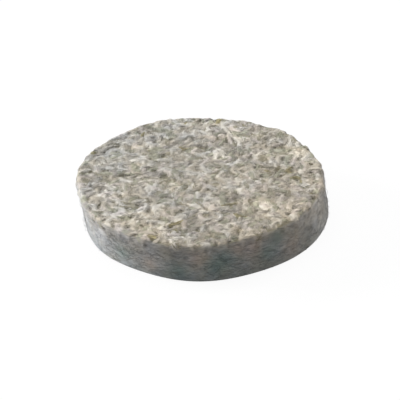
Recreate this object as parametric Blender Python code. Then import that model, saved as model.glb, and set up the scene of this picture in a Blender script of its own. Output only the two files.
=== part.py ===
"""Felt furniture glide: one round pad, die-cut from a thick sheet of pressed wool-mix felt.

Units are metres and +Z is up. The origin is the centre of the flat face that is glued under a
furniture leg. That face lies down here, and the napped face that slides on the floor is up.
"""

import math

import bmesh
import bpy
import numpy as np
from mathutils import Matrix

for leftover in list(bpy.data.objects):
    bpy.data.objects.remove(leftover, do_unlink=True)

# The pad: its thickness is measured to the tops of the tufts
PAD_DIAMETER = 0.0280
PAD_THICKNESS = 0.0049

# The cut wall: the sheet slid a little under the punch, so it leans, and it draws in at mid height
WALL_LEAN = 0.00062
LEAN_HEADING = math.radians(180)
WALL_WAIST = 0.00010
TOP_EDGE_ROUND = 0.00060
BOTTOM_EDGE_ROUND = 0.00020

# Slow waves of the outline, where the felt gave: lobes round the rim, height, heading of a crest
RIM_WAVES = (
    (2, 0.00014, math.radians(0)),
    (3, 0.00009, math.radians(14)),
    (5, 0.00007, math.radians(-27)),
    (6, 0.00008, math.radians(-20)),
    (7, 0.00008, math.radians(2)),
)

# The nap: short curled tufts on the pressed body, lower at the rim, where the punch pressed them
NAP_HEIGHT = 0.00042
TUFT_LENGTH = 0.0024
TUFT_WIDTH = 0.0010
TUFT_COVER = 1.1
TUFT_LENGTH_SPREAD = (0.7, 1.2)
TUFT_WIDTH_SPREAD = (0.8, 1.3)
TUFT_HEIGHT_SPREAD = (0.3, 1.0)
TUFT_CURL = 0.5
RIM_PRESS = 0.5
RIM_PRESS_FADE = 12

# The upper face falls away a little towards its rim
CROWN = 0.00012
CROWN_FADE = 4

# The fray: tufts that hang over the rim push it in and out in short waves
RIM_FRAY = 0.00011
FRAY_LOBES = (11, 16, 23, 31, 38)
FRAY_FACE_FADE = 8
FRAY_WALL_FADE = 3

# The laid layers of fibre, which show as low ridges along the wall
LAYER_PITCH = 0.0019
LAYER_RELIEF = 0.00006
LAYER_DRIFT = 0.9
LAYER_DRIFT_LOBES = (3, 7)

# How finely the pad is divided, and what its scattered tufts are drawn from
FACE_RINGS = 30
TOP_ROUND_STEPS = 2
WALL_STEPS = 6
SEED = 7

# Wool-mix felt, as linear colour
FELT_COLOUR = (0.407, 0.381, 0.323, 1.0)
FELT_ROUGHNESS = 0.95

SHARP_ANGLE = math.radians(60)
SIDES = 6
SIDE_ANGLE = 2 * math.pi / SIDES
MIDDLE = 1e-6


def felt_material():
    material = bpy.data.materials.new("pressed_felt")
    material.use_nodes = True
    shader = material.node_tree.nodes["Principled BSDF"]
    shader.inputs["Base Color"].default_value = FELT_COLOUR
    shader.inputs["Roughness"].default_value = FELT_ROUGHNESS
    shader.inputs["Metallic"].default_value = 0.0
    return material


def rim_radius(heading):
    """Plan radius of the cut: the punch's circle, plus the slow waves where the felt gave."""
    radius = PAD_DIAMETER / 2
    for lobes, height, crest in RIM_WAVES:
        radius += height * math.cos(lobes * (heading - crest))
    return radius


def slide(height):
    """Sideways place of the pad's middle at a height: nothing at the glued face, all at the nap."""
    share = WALL_LEAN * height / PAD_THICKNESS
    return share * math.cos(LEAN_HEADING), share * math.sin(LEAN_HEADING)


class Nap:
    """The tufts of the upper face: short ridges at any heading, each with its own size."""

    def __init__(self):
        draw = np.random.default_rng(SEED)
        reach = PAD_DIAMETER / 2
        tuft_area = math.pi * TUFT_LENGTH * TUFT_WIDTH / 4
        count = int(TUFT_COVER * math.pi * reach**2 / tuft_area)
        far = reach * np.sqrt(draw.random(count))
        turn = draw.uniform(0, 2 * math.pi, count)
        self.x = far * np.cos(turn)
        self.y = far * np.sin(turn)
        self.heading = draw.uniform(0, math.pi, count)
        self.half_length = TUFT_LENGTH / 2 * draw.uniform(*TUFT_LENGTH_SPREAD, count)
        self.half_width = TUFT_WIDTH / 2 * draw.uniform(*TUFT_WIDTH_SPREAD, count)
        self.height = NAP_HEIGHT * draw.uniform(*TUFT_HEIGHT_SPREAD, count)
        self.curl = draw.uniform(-TUFT_CURL, TUFT_CURL, count)

    def height_at(self, x, y):
        """The highest tuft over a point: each is a bell along and across a bent centre line."""
        right = x - self.x
        ahead = y - self.y
        along = (right * np.cos(self.heading) + ahead * np.sin(self.heading)) / self.half_length
        across = (ahead * np.cos(self.heading) - right * np.sin(self.heading)) / self.half_width
        across = across - self.curl * along**2
        return float(np.max(self.height * np.exp(-(along**2) - across**2)))


class Fray:
    """In-and-out of the rim under hanging tufts: short waves of one height and random phase."""

    def __init__(self):
        draw = np.random.default_rng(SEED + 1)
        self.phase = draw.uniform(0, 2 * math.pi, len(FRAY_LOBES))

    def at(self, heading, fade):
        waves = [math.cos(lobes * heading + p) for lobes, p in zip(FRAY_LOBES, self.phase)]
        return RIM_FRAY * fade * sum(waves) / math.sqrt(len(waves))


def layer_relief(heading, height):
    """Low ridges of the laid fibre layers, which rise and fall as they run round the wall."""
    drift = LAYER_DRIFT * sum(math.sin(lobes * heading) for lobes in LAYER_DRIFT_LOBES)
    return LAYER_RELIEF * math.sin(2 * math.pi * height / LAYER_PITCH + drift)


def edge_profile():
    """(draw-in from the cut edge, height) down the wall, from beside the nap to the glued face."""
    shoulder = PAD_THICKNESS - NAP_HEIGHT - CROWN
    points = []
    for step in range(1, TOP_ROUND_STEPS + 1):
        turn = math.pi / 2 * step / TOP_ROUND_STEPS
        drop = TOP_EDGE_ROUND * (1 - math.cos(turn))
        points.append((TOP_EDGE_ROUND * (1 - math.sin(turn)), shoulder - drop))
    top = shoulder - TOP_EDGE_ROUND
    for step in range(1, WALL_STEPS + 1):
        share = step / WALL_STEPS
        height = top + (BOTTOM_EDGE_ROUND - top) * share
        points.append((WALL_WAIST * math.sin(math.pi * share), height))
    points.append((BOTTOM_EDGE_ROUND, 0.0))
    return points


def opened_place(point):
    """Share of the way out, and heading, of a point of the unit hexagon opened into a circle.

    Each ring of the hexagon is walked side by side, so its points end up evenly spaced.
    """
    turn = math.atan2(point.y, point.x) % (2 * math.pi)
    side = int(turn / SIDE_ANGLE + MIDDLE) % SIDES
    middle = (side + 0.5) * SIDE_ANGLE
    across = point.x * math.cos(middle) + point.y * math.sin(middle)
    out = across / math.cos(SIDE_ANGLE / 2)
    if out < MIDDLE:
        return 0.0, 0.0
    along = point.y * math.cos(middle) - point.x * math.sin(middle)
    return out, middle + SIDE_ANGLE * along / out


def napped_face(bm, heading_of, fray):
    """The upper face: a hexagon of even triangles, opened into a disc and raised into tufts."""
    corner_at_x = Matrix.Rotation(math.radians(90), 4, "Z")
    bmesh.ops.create_circle(
        bm, cap_ends=True, cap_tris=True, segments=SIDES, radius=1.0, matrix=corner_at_x
    )
    bmesh.ops.subdivide_edges(bm, edges=bm.edges[:], cuts=FACE_RINGS - 1, use_grid_fill=True)
    nap = Nap()
    shift_x, shift_y = slide(PAD_THICKNESS)
    body_top = PAD_THICKNESS - NAP_HEIGHT
    for vertex in bm.verts:
        out, heading = opened_place(vertex.co)
        vertex[heading_of] = heading
        reach = rim_radius(heading) - TOP_EDGE_ROUND + fray.at(heading, out**FRAY_FACE_FADE)
        x = out * reach * math.cos(heading)
        y = out * reach * math.sin(heading)
        fall = CROWN * out**CROWN_FADE
        rise = nap.height_at(x, y) * (1 - RIM_PRESS * out**RIM_PRESS_FADE)
        vertex.co = (x + shift_x, y + shift_y, body_top - fall + rise)


def cut_wall(bm, heading_of, fray):
    """The wall: the rim of the upper face is extruded down the edge's profile, then capped flat."""
    rim = [edge for edge in bm.edges if edge.is_boundary]
    for draw_in, height in edge_profile():
        made = bmesh.ops.extrude_edge_only(bm, edges=rim)["geom"]
        rim = [item for item in made if isinstance(item, bmesh.types.BMEdge) and item.is_boundary]
        shift_x, shift_y = slide(height)
        fade = (height / PAD_THICKNESS) ** FRAY_WALL_FADE
        for vertex in (item for item in made if isinstance(item, bmesh.types.BMVert)):
            heading = vertex[heading_of]
            radius = rim_radius(heading) - draw_in + fray.at(heading, fade)
            if height > 0:
                radius += layer_relief(heading, height)
            x = radius * math.cos(heading) + shift_x
            y = radius * math.sin(heading) + shift_y
            vertex.co = (x, y, height)
    bmesh.ops.edgeloop_fill(bm, edges=rim)


def felt_pad():
    bm = bmesh.new()
    heading_of = bm.verts.layers.float.new("heading")
    fray = Fray()
    napped_face(bm, heading_of, fray)
    cut_wall(bm, heading_of, fray)
    bm.verts.layers.float.remove(heading_of)
    bmesh.ops.recalc_face_normals(bm, faces=bm.faces[:])
    mesh = bpy.data.meshes.new("felt_pad")
    bm.to_mesh(mesh)
    bm.free()
    mesh.shade_smooth()
    mesh.set_sharp_from_angle(angle=SHARP_ANGLE)
    mesh.materials.append(felt_material())
    pad = bpy.data.objects.new("felt_pad", mesh)
    bpy.context.scene.collection.objects.link(pad)
    return pad


felt_pad()
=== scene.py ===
# %% [markdown]
# A felt furniture glide, dressed for a close look.
#
# The pad is one round disc, die-cut from a thick sheet of pressed wool-mix felt. Its upper face is a
# short nap: small curled tufts, each a wisp of fibres, lying every way over darker hollows. The cut
# wall is denser and smoother, and leans a little. The solid part already has the size and the broad
# form. This script adds what is too fine for it: a skin with the relief of every tuft, the tufts
# themselves as wisps of strands, the fibres of the cut wall and a little fuzz at the edges.

import math

import bpy
import numpy as np
from mathutils import Matrix, Vector


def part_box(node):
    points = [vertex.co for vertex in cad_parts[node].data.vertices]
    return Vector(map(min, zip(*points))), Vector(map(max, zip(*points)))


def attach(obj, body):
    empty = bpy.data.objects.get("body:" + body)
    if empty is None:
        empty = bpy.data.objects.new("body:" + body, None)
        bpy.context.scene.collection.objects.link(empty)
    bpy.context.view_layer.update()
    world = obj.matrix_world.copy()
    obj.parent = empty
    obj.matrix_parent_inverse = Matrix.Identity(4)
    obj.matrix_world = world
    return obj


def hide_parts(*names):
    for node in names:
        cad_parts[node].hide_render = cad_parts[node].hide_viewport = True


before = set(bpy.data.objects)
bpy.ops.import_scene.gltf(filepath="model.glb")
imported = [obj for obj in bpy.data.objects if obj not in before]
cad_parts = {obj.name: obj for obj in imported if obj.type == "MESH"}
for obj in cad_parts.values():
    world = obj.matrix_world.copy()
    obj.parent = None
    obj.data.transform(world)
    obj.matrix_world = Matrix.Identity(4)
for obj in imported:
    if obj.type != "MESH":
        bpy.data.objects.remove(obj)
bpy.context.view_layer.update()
NODE = "felt_pad"
MM = 0.001

# %% [markdown]
# The skin has to lie where the solid lies, so its outline is read from the solid and not typed in
# again. The wall of the solid is a stack of rings. Each ring's radius is a smooth function of the
# heading round the pad, and a short Fourier series holds it: the first pair of terms is the ring's
# sideways slide, and the others are the slow waves of the cut.

# %% A series round the rim
WAVES = 9
RING_SLACK = 0.005 * MM   # points this near to a height are on its ring
OUTER_SHARE = 0.8         # share of a ring's largest radius beyond which its points are the wall's


def waves_of(heading):
    """One, then the cosines and the sines of 1 to WAVES times the heading."""
    angles = np.asarray(heading)[..., None] * np.arange(1, WAVES + 1)
    ones = np.ones(angles.shape[:-1] + (1,))
    return np.concatenate([ones, np.cos(angles), np.sin(angles)], axis=-1)


def ring_series(points, height):
    """Least-squares series of radius against heading, from the outermost points at one height."""
    near = points[np.abs(points[:, 2] - height) < RING_SLACK]
    out = np.hypot(near[:, 0], near[:, 1])
    wall = out > OUTER_SHARE * out.max()
    terms = waves_of(np.arctan2(near[wall, 1], near[wall, 0]))
    return np.linalg.lstsq(terms, out[wall], rcond=None)[0]


print(f"{1 + 2 * WAVES} terms in a series")

# %% Read the outline from the solid
RING_POINTS = 300         # more points than this at one height mark a ring of the wall
SHOULDER = 0.8            # share of the thickness below which the wall is straight

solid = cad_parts[NODE]
solid_points = np.empty(len(solid.data.vertices) * 3)
solid.data.vertices.foreach_get("co", solid_points)
solid_points = solid_points.reshape(-1, 3)
low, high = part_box(NODE)
THICKNESS = high.z - low.z
heights, counts = np.unique(np.round(solid_points[:, 2], 6), return_counts=True)
rings = heights[(counts > RING_POINTS) & (heights > 0) & (heights < SHOULDER * THICKNESS)]
LOWER_RING, UPPER_RING = rings.min(), rings.max()
lower_series = ring_series(solid_points, LOWER_RING)
upper_series = ring_series(solid_points, UPPER_RING)
print(f"thickness {THICKNESS / MM:.2f} mm, rings at {LOWER_RING / MM:.2f} and {UPPER_RING / MM:.2f} mm")

# %% The wall's radius anywhere


def rim_radius(heading, height):
    """Plan radius at a heading and height: the two rings' series, joined by a straight line."""
    share = (np.asarray(height) - LOWER_RING) / (UPPER_RING - LOWER_RING)
    terms = waves_of(heading)
    return (terms @ lower_series) * (1 - share) + (terms @ upper_series) * share


RADIUS = lower_series[0]
LEAN = (upper_series[1] - lower_series[1]) / (UPPER_RING - LOWER_RING) * THICKNESS
print(f"mean radius {RADIUS / MM:.2f} mm, lean {LEAN / MM:.2f} mm")

# %% [markdown]
# The camera stands where the photograph's did. A long lens far off flattens a small object in the
# way a close-up lens does. The pad's width in pixels fixes the scale of the picture, and the camera
# slides sideways a little, in its own plane, so that the pad's middle falls where it should.

# %% Camera
PHOTO_PX = 400
PAD_WIDTH_PX = 243.5
PAD_MIDDLE_PX = (199.9, 194.6)
CAMERA_ELEVATION = math.radians(32.6)
CAMERA_ROLL = math.radians(-1.83)
CAMERA_DISTANCE = 16 * RADIUS
CLIP_RATIO = 20
SENSOR = 36.0

view_width = PHOTO_PX * 2 * RADIUS / PAD_WIDTH_PX
px = view_width / PHOTO_PX
back = Vector((0.0, -math.cos(CAMERA_ELEVATION), math.sin(CAMERA_ELEVATION)))
level_right = Vector((1.0, 0.0, 0.0))
level_up = back.cross(level_right)
right = level_right * math.cos(CAMERA_ROLL) + level_up * math.sin(CAMERA_ROLL)
up = level_up * math.cos(CAMERA_ROLL) - level_right * math.sin(CAMERA_ROLL)
aim = Vector((LEAN, 0.0, THICKNESS / 2))
aim -= right * (PAD_MIDDLE_PX[0] - PHOTO_PX / 2) * px
aim += up * (PAD_MIDDLE_PX[1] - PHOTO_PX / 2) * px

lens = bpy.data.cameras.new("close_up_lens")
lens.sensor_width = SENSOR
lens.lens = SENSOR * CAMERA_DISTANCE / view_width
lens.clip_start = CAMERA_DISTANCE / CLIP_RATIO
lens.clip_end = CAMERA_DISTANCE * CLIP_RATIO
camera = bpy.data.objects.new("camera", lens)
bpy.context.scene.collection.objects.link(camera)
turn = Matrix((right, up, back)).transposed().to_4x4()
camera.matrix_world = Matrix.Translation(aim + back * CAMERA_DISTANCE) @ turn
bpy.context.scene.camera = camera
bpy.context.scene.view_settings.view_transform = "Standard"
print(f"view {view_width / MM:.1f} mm wide, {px / MM:.3f} mm a pixel, lens {lens.lens:.0f} mm")

# %% [markdown]
# Soft studio light: a broad lamp overhead carries the napped face. Felt has no gloss, so what models
# its wall is where the light doesn't reach: the side towards the camera stays dim, a long lamp on
# the left brightens that end, and a weaker one on the right lifts the other.

# %% Lamps
LAMPS = {
    "overhead": {"at": (-0.03, 0.10, 0.50), "size": (0.50, 0.40), "watts": 1.21},
    "left": {"at": (-0.41, 0.14, 0.11), "size": (0.24, 0.16), "watts": 3.22},
    "right": {"at": (0.34, 0.28, 0.11), "size": (0.24, 0.16), "watts": 0.95},
}


def add_lamp(name, at, size, watts):
    """A rectangular soft lamp at a point, turned to face the pad."""
    light = bpy.data.lights.new(name, "AREA")
    light.shape = "RECTANGLE"
    light.size, light.size_y = size
    light.energy = watts
    lamp = bpy.data.objects.new(name, light)
    lamp.location = at
    lamp.rotation_euler = (-Vector(at)).to_track_quat("-Z", "Y").to_euler()
    bpy.context.scene.collection.objects.link(lamp)


for name, lamp in LAMPS.items():
    add_lamp(name, **lamp)
print(", ".join(f"{name} {lamp['watts']} W" for name, lamp in LAMPS.items()))

# %% [markdown]
# The floor and the world are white where the camera looks at them and plain grey to the lamps, so
# they tint nothing. Part of the floor's white is plain paint, which takes the pad's faint shadow.

# %% World
WORLD_LIGHT = 0.40


def seen_directly(tree):
    """A socket that is 1 for camera, glossy and transmission rays, and 0 for all others."""
    path = tree.nodes.new("ShaderNodeLightPath")
    seen = path.outputs["Is Camera Ray"]
    for other in ("Is Glossy Ray", "Is Transmission Ray"):
        either = tree.nodes.new("ShaderNodeMath")
        either.operation = "MAXIMUM"
        tree.links.new(seen, either.inputs[0])
        tree.links.new(path.outputs[other], either.inputs[1])
        seen = either.outputs[0]
    return seen


def plain_shader(tree, kind, grey):
    """A background, diffuse or emission shader of one grey."""
    node = tree.nodes.new(f"ShaderNode{kind}")
    node.inputs["Color"].default_value = (grey, grey, grey, 1)
    return node.outputs[0]


def feed(tree, value, socket):
    """Join a socket's output to an input, or set the input to a plain value."""
    if isinstance(value, bpy.types.NodeSocket):
        tree.links.new(value, socket)
    else:
        socket.default_value = value


def mix_shaders(tree, share, first, second):
    """The first shader, drawn towards the second by a socket or a number."""
    node = tree.nodes.new("ShaderNodeMixShader")
    for value, socket in zip((share, first, second), node.inputs):
        feed(tree, value, socket)
    return node.outputs[0]


world = bpy.data.worlds.new("studio")
world.use_nodes = True
bpy.context.scene.world = world
sky = world.node_tree
grey_sky = sky.nodes["Background"]
grey_sky.inputs["Strength"].default_value = WORLD_LIGHT
grey_sky.inputs["Color"].default_value = (1, 1, 1, 1)
sky_look = mix_shaders(sky, seen_directly(sky), grey_sky.outputs[0], plain_shader(sky, "Background", 1))
sky.links.new(sky_look, sky.nodes["World Output"].inputs["Surface"])
print(f"world at {WORLD_LIGHT}")

# %% Floor
FLOOR_GREY = 0.40
FLOOR_GLOW = 0.92         # share of the white that glows and takes no shadow
FLOOR_REACH = 1.2
FLOOR_GAP = 0.01 * MM

floor_paint = bpy.data.materials.new("pale_floor")
floor_paint.use_nodes = True
tree = floor_paint.node_tree
tree.nodes.remove(tree.nodes["Principled BSDF"])
white_floor = mix_shaders(
    tree, FLOOR_GLOW, plain_shader(tree, "BsdfDiffuse", 1), plain_shader(tree, "Emission", 1))
grey_floor = plain_shader(tree, "BsdfDiffuse", FLOOR_GREY)
floor_look = mix_shaders(tree, seen_directly(tree), grey_floor, white_floor)
tree.links.new(floor_look, tree.nodes["Material Output"].inputs["Surface"])

floor_mesh = bpy.data.meshes.new("floor")
half = FLOOR_REACH / 2
floor_z = low.z - FLOOR_GAP
floor_mesh.from_pydata(
    [(-half, -half, floor_z), (half, -half, floor_z), (half, half, floor_z), (-half, half, floor_z)],
    [], [(0, 1, 2, 3)])
floor_mesh.materials.append(floor_paint)
floor = bpy.data.objects.new("floor", floor_mesh)
bpy.context.scene.collection.objects.link(floor)
print(f"floor {FLOOR_REACH} m wide")

# %% [markdown]
# Every piece below is worked out as whole arrays and handed to Blender in one go. This helper takes
# points and triangles, a colour for each point, the way that the felt faces there, and any other
# number a point should carry. The UV map is only there so that a baked copy of the pad has its own
# texture space.

# %% From arrays to a mesh


def make_piece(name, points, triangles, uv, colours, facing, values):
    """An object at the origin from points (n, 3), triangles (m, 3) and corner UVs (m, 3, 2), with
    the colour of each point and the way that the felt faces there."""
    mesh = bpy.data.meshes.new(name)
    mesh.vertices.add(len(points))
    mesh.vertices.foreach_set("co", points.astype(np.float32).ravel())
    mesh.loops.add(triangles.size)
    mesh.loops.foreach_set("vertex_index", triangles.astype(np.int32).ravel())
    mesh.polygons.add(len(triangles))
    mesh.polygons.foreach_set("loop_start", np.arange(0, triangles.size, 3, dtype=np.int32))
    mesh.update(calc_edges=True)
    mesh.shade_smooth()
    uv_map = mesh.uv_layers.new(name="OFBake")
    uv_map.uv.foreach_set("vector", uv.astype(np.float32).ravel())
    rgba = np.concatenate([colours, np.ones((len(colours), 1))], axis=1)
    layers = [("tint", "FLOAT_COLOR", "color", rgba), ("facing", "FLOAT_VECTOR", "vector", facing)]
    layers += [(key, "FLOAT", "value", value) for key, value in values.items()]
    for key, kind, field, value in layers:
        layer = mesh.attributes.new(key, kind, "POINT")
        layer.data.foreach_set(field, value.astype(np.float32).ravel())
    piece = bpy.data.objects.new(name, mesh)
    bpy.context.scene.collection.objects.link(piece)
    a, b, c = points[triangles[:, 0]], points[triangles[:, 1]], points[triangles[:, 2]]
    volume = np.einsum("ij,ij->i", a, np.cross(b, c)).sum() / 6
    print(f"{name}: {len(points)} points, {len(triangles)} triangles, {volume / MM**3:.1f} mm3")
    return piece


# %% [markdown]
# One way of speaking of places serves the face, its rounded edge and the wall. Think of the upper
# face as a sheet that runs on flat past the rim. A place (x, y) on that sheet is then wrapped: past
# the start of the edge it bends round a quarter circle and goes on straight down the wall. Tufts can
# be scattered on the flat sheet, and those at the rim fold over the edge by themselves.

# %% Wrap a flat sheet over the pad
NAP_DEPTH = 0.29 * MM     # from the deepest hollow to the highest tuft
CROWN = 0.02 * MM         # fall of the face towards its rim
EDGE_ROUND = 0.30 * MM
FOOT_ROUND = 0.20 * MM
EDGE_TOP = THICKNESS - NAP_DEPTH - CROWN
QUARTER = math.pi / 2
WALL_RUN = EDGE_TOP - EDGE_ROUND - FOOT_ROUND
SHEET_RUN = WALL_RUN + EDGE_ROUND * QUARTER  # from the start of the edge down to the rounded foot


def at_heading(heading, run):
    """Plan x and y of a place at a heading and a distance from the middle."""
    return run * np.cos(heading), run * np.sin(heading)


def edge_start(heading):
    """Distance from the middle at which the face starts to round off, at a heading."""
    return rim_radius(heading, EDGE_TOP) - EDGE_ROUND


def past_edge(x, y):
    """How far past the start of the edge a sheet place lies, less than nothing on the face."""
    return np.hypot(x, y) - edge_start(np.arctan2(y, x))


def on_pad(x, y, lift):
    """Points and normals at sheet places (x, y), raised along the normal by lift. The face falls to
    its rim by the fourth power of the way out. With s the distance past the edge's start and e the
    edge's radius, the turn is s / e up to a quarter, the height falls by e * (1 - cos(turn)) and
    then by the rest of s, and the radius follows the wall."""
    heading = np.arctan2(y, x)
    run = np.hypot(x, y)
    start = edge_start(heading)
    past = np.clip(run - start, 0, None)
    turned = np.clip(past / EDGE_ROUND, 0, QUARTER)
    down = np.clip(past - EDGE_ROUND * QUARTER, 0, None)
    fall = CROWN * np.minimum(run / start, 1) ** 4
    z = EDGE_TOP + CROWN - fall - EDGE_ROUND * (1 - np.cos(turned)) - down
    lean = rim_radius(heading, z) - rim_radius(heading, EDGE_TOP)
    out = np.minimum(run, start) + EDGE_ROUND * np.sin(turned) + np.where(past > 0, lean, 0)
    normal = np.stack([*at_heading(heading, np.sin(turned)), np.cos(turned)], axis=-1)
    place = np.stack([*at_heading(heading, out), z], axis=-1)
    return place + lift[..., None] * normal, normal


print(f"edge starts {edge_start(0.0) / MM:.2f} mm out, wall {WALL_RUN / MM:.2f} mm high")

# %% [markdown]
# Nothing about felt is even, so several steps below need a smooth random field: one for how full the
# nap is, others for the relief of the wall. This is the plainest sort of noise there is. It is worked
# out here and not taken from a texture, because it moves points as well as colours.

# %% A smooth random field
SEED = 28

draw = np.random.default_rng(SEED)


def lattice_noise(points, cell):
    """Numbers from -1 to 1, drawn on a lattice with this cell and blended in between: a point takes
    its eight nearest, each weighed by 3 t^2 - 2 t^3 of the place t within the cell."""
    place = (points - points.min(axis=0)) / np.array(cell)
    base = np.floor(place).astype(int)
    t = place - base
    t = t * t * (3 - 2 * t)
    lattice = draw.uniform(-1, 1, base.max(axis=0) + 2)
    total = np.zeros(len(points))
    for corner in np.ndindex(2, 2, 2):
        weight = np.where(np.array(corner, bool), t, 1 - t).prod(axis=1)
        total += weight * lattice[tuple((base + corner).T)]
    return total


print(f"all that is random is drawn from seed {SEED}, apart from the ragged rim")

# %% [markdown]
# The nap isn't equally full all over. In some places tufts were rubbed away and the darker bed lies
# open, and in others they crowd together. The widest of both are put where the photograph shows
# them, as soft round spots, and the random field adds the rest.

# %% Full and thin places of the nap
FULL_PLACES = (            # middle and radius in mm
    (10.7, -2.0, 1.3), (1.0, 11.4, 1.4), (4.4, 9.2, 1.5), (-6.2, -7.3, 1.3), (-0.3, -6.8, 0.8),
    (10.5, 4.5, 1.3), (-12.0, -4.5, 1.2), (1.2, 4.5, 0.9), (-8.8, -9.4, 0.9), (6.4, -6.2, 0.9),
    (-5.8, 9.1, 0.9), (4.6, -10.9, 0.8), (7.2, 4.3, 0.8), (-8.0, 3.9, 0.8), (9.0, -8.2, 0.9))
THIN_PLACES = (
    (-6.6, 2.3, 1.5), (-1.9, -6.0, 0.8), (6.0, -10.4, 0.9), (-1.8, -10.7, 0.9), (3.0, 6.5, 1.1),
    (7.2, 1.0, 1.2), (2.8, -5.9, 0.9), (7.0, -3.6, 0.8), (-6.7, 10.6, 0.9), (10.1, -3.9, 0.7),
    (0.1, -9.3, 0.7), (2.0, 10.5, 0.8), (2.9, -13.1, 0.8), (7.5, -7.3, 0.7))
CLUMP_CELLS = (1.2 * MM, 2.4 * MM)
CLUMP_STRENGTH = 0.52


def fullness(x, y):
    """About one in a full place and minus one in a thin one: a bell round each listed middle, which
    falls off with the square of the distance over its radius, and two random fields."""
    total = np.zeros(len(x))
    for sign, places in ((1, FULL_PLACES), (-1, THIN_PLACES)):
        for middle_x, middle_y, reach in places:
            away = ((x / MM - middle_x) ** 2 + (y / MM - middle_y) ** 2) / reach**2
            total += sign * np.exp(-away / 2)
    flat = np.stack([x, y, np.zeros(len(x))], axis=1)
    for cell in CLUMP_CELLS:
        total += CLUMP_STRENGTH * lattice_noise(flat, (cell, cell, cell))
    return np.clip(total, -1, 1)


print(f"{len(FULL_PLACES)} full places and {len(THIN_PLACES)} thin ones")

# %% [markdown]
# The nap's rim isn't the same all round. At the rear left the felt gave way before the punch, so the
# nap is loose and fluffy there. And all round the edge is ragged: here wisps hang over it, and there
# they were cut short. Both are functions of the heading alone, one a bell and one a sum of cosines.

# %% How loose the rim is
FLUFF_HEADING = math.radians(150)
FLUFF_SPREAD = math.radians(52)
FLUFF_REACH = 0.50 * MM   # how much further out the nap goes where the rim is fluffiest
FLUFF_KEPT = 0.7          # share of the pressing that the fluffiest rim was spared
RAGGED_LOBES = (13, 19, 27, 36, 47, 61)
RAGGED_SEED = 33
RAGGED_MEAN = 0.45
RAGGED_SWING = 0.40
RAGGED_REACH = 0.60 * MM  # how much further out it goes where wisps hang over the edge
RAGGED_KEPT = 0.95

ragged_phases = np.random.default_rng(RAGGED_SEED).uniform(0, 2 * np.pi, len(RAGGED_LOBES))


def turned_from(heading, middle):
    """Angle from one heading to another, the short way round."""
    return np.angle(np.exp(1j * (np.asarray(heading) - middle)))


def fluff(heading):
    """How loose the nap is at the rim, from nothing to one: a bell of the heading."""
    return np.exp(-(turned_from(heading, FLUFF_HEADING) / FLUFF_SPREAD) ** 2 / 2)


def ragged(heading):
    """How far the rim hangs out, from nothing to one: cosines of several lobes round it."""
    waves = np.cos(np.asarray(heading)[..., None] * RAGGED_LOBES + ragged_phases).sum(axis=-1)
    return np.clip(RAGGED_MEAN + RAGGED_SWING * waves / np.sqrt(len(RAGGED_LOBES) / 2), 0, 1)


print(f"tufts lie up to {(FLUFF_REACH + RAGGED_REACH) / MM:.1f} mm further out where it is loose")

# %% [markdown]
# The nap first exists as curved lines. A tuft is a wisp of fibres that the needles pulled out of the
# sheet, and from above it is a short worm: an arc of a circle with a slight sway. There are two
# sorts. The bed is broad, low and nearly straight. The curls on it are slimmer and hooked, and they
# stand highest. Sizes, bends and heights are drawn at random, from a seeded generator, so that the
# pad is the same each time.

# %% Scatter the tufts
TUFT_SORTS = {
    "bed": {"count": 860, "length": 2.0 * MM, "width": 0.88 * MM, "bend": 1.6, "level": (0.0, 0.5)},
    "curl": {"count": 820, "length": 2.0 * MM, "width": 0.60 * MM, "bend": 3.4, "level": (0.4, 0.9)},
}
TUFT_LENGTHS = (0.6, 1.4)  # spread of the lengths and widths, as shares of their sort's
TUFT_WIDTHS = (0.75, 1.3)
TUFT_SWAY = 0.3           # of the width
GRAIN_PULL = 0.22         # how far the headings are drawn to the sheet's grain, along Y
RIM_MARGIN = 0.25 * MM    # from the start of the edge in to the outermost tufts' middles
RIM_LIFT = 0.45           # of a level: tufts at the rim stand a little higher
RIM_LIFT_FADE = 10
THIN_SINK = 0.30          # of a level: tufts in a thin place lie lower, and in a full one higher


def scatter_tufts(count, length, width, bend, level):
    """Tufts of one sort, spread evenly over the face: the distance out is the root of a share."""
    around = draw.uniform(0, 2 * np.pi, count)
    reach = (edge_start(around) - RIM_MARGIN
             + FLUFF_REACH * fluff(around) + RAGGED_REACH * ragged(around))
    far = np.sqrt(draw.random(count)) * reach
    rim = np.clip(far / edge_start(around), 0, 1) ** RIM_LIFT_FADE
    heading = draw.uniform(0, 2 * np.pi, count)
    x, y = at_heading(around, far)
    return {
        "x": x,
        "y": y,
        "heading": heading + GRAIN_PULL * np.sin(2 * heading),
        "length": length * draw.uniform(*TUFT_LENGTHS, count),
        "half_width": width / 2 * draw.uniform(*TUFT_WIDTHS, count),
        "bend": draw.uniform(-bend, bend, count),
        "sway": width * draw.uniform(-TUFT_SWAY, TUFT_SWAY, count),
        "level": draw.uniform(*level, count) + RIM_LIFT * rim,
    }


sorts = [scatter_tufts(**sort) for sort in TUFT_SORTS.values()]
tufts = {key: np.concatenate([sort[key] for sort in sorts]) for key in sorts[0]}
TUFT_COUNT = len(tufts["x"])
is_curl = np.arange(TUFT_COUNT) >= TUFT_SORTS["bed"]["count"]
full = fullness(tufts["x"], tufts["y"])
tufts["level"] = np.clip(tufts["level"] + THIN_SINK * full * is_curl, 0, None)
cover = (tufts["length"] * tufts["half_width"] * 2).sum() / (np.pi * RADIUS**2)
print(f"{TUFT_COUNT} tufts, enough to cover the face {cover:.1f} times")

# %% Lines and heights of the tufts
LEAST_BEND = 0.01
SPINE_SHARE = 0.60        # of the nap's depth: a level of one lifts a tuft's underside by this
SPINE_SINK = 2.4          # of a level, times the square of the share along
ROUND_SHARE = 0.32        # of the nap's depth: a tuft's back rises by this above its sides


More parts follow.
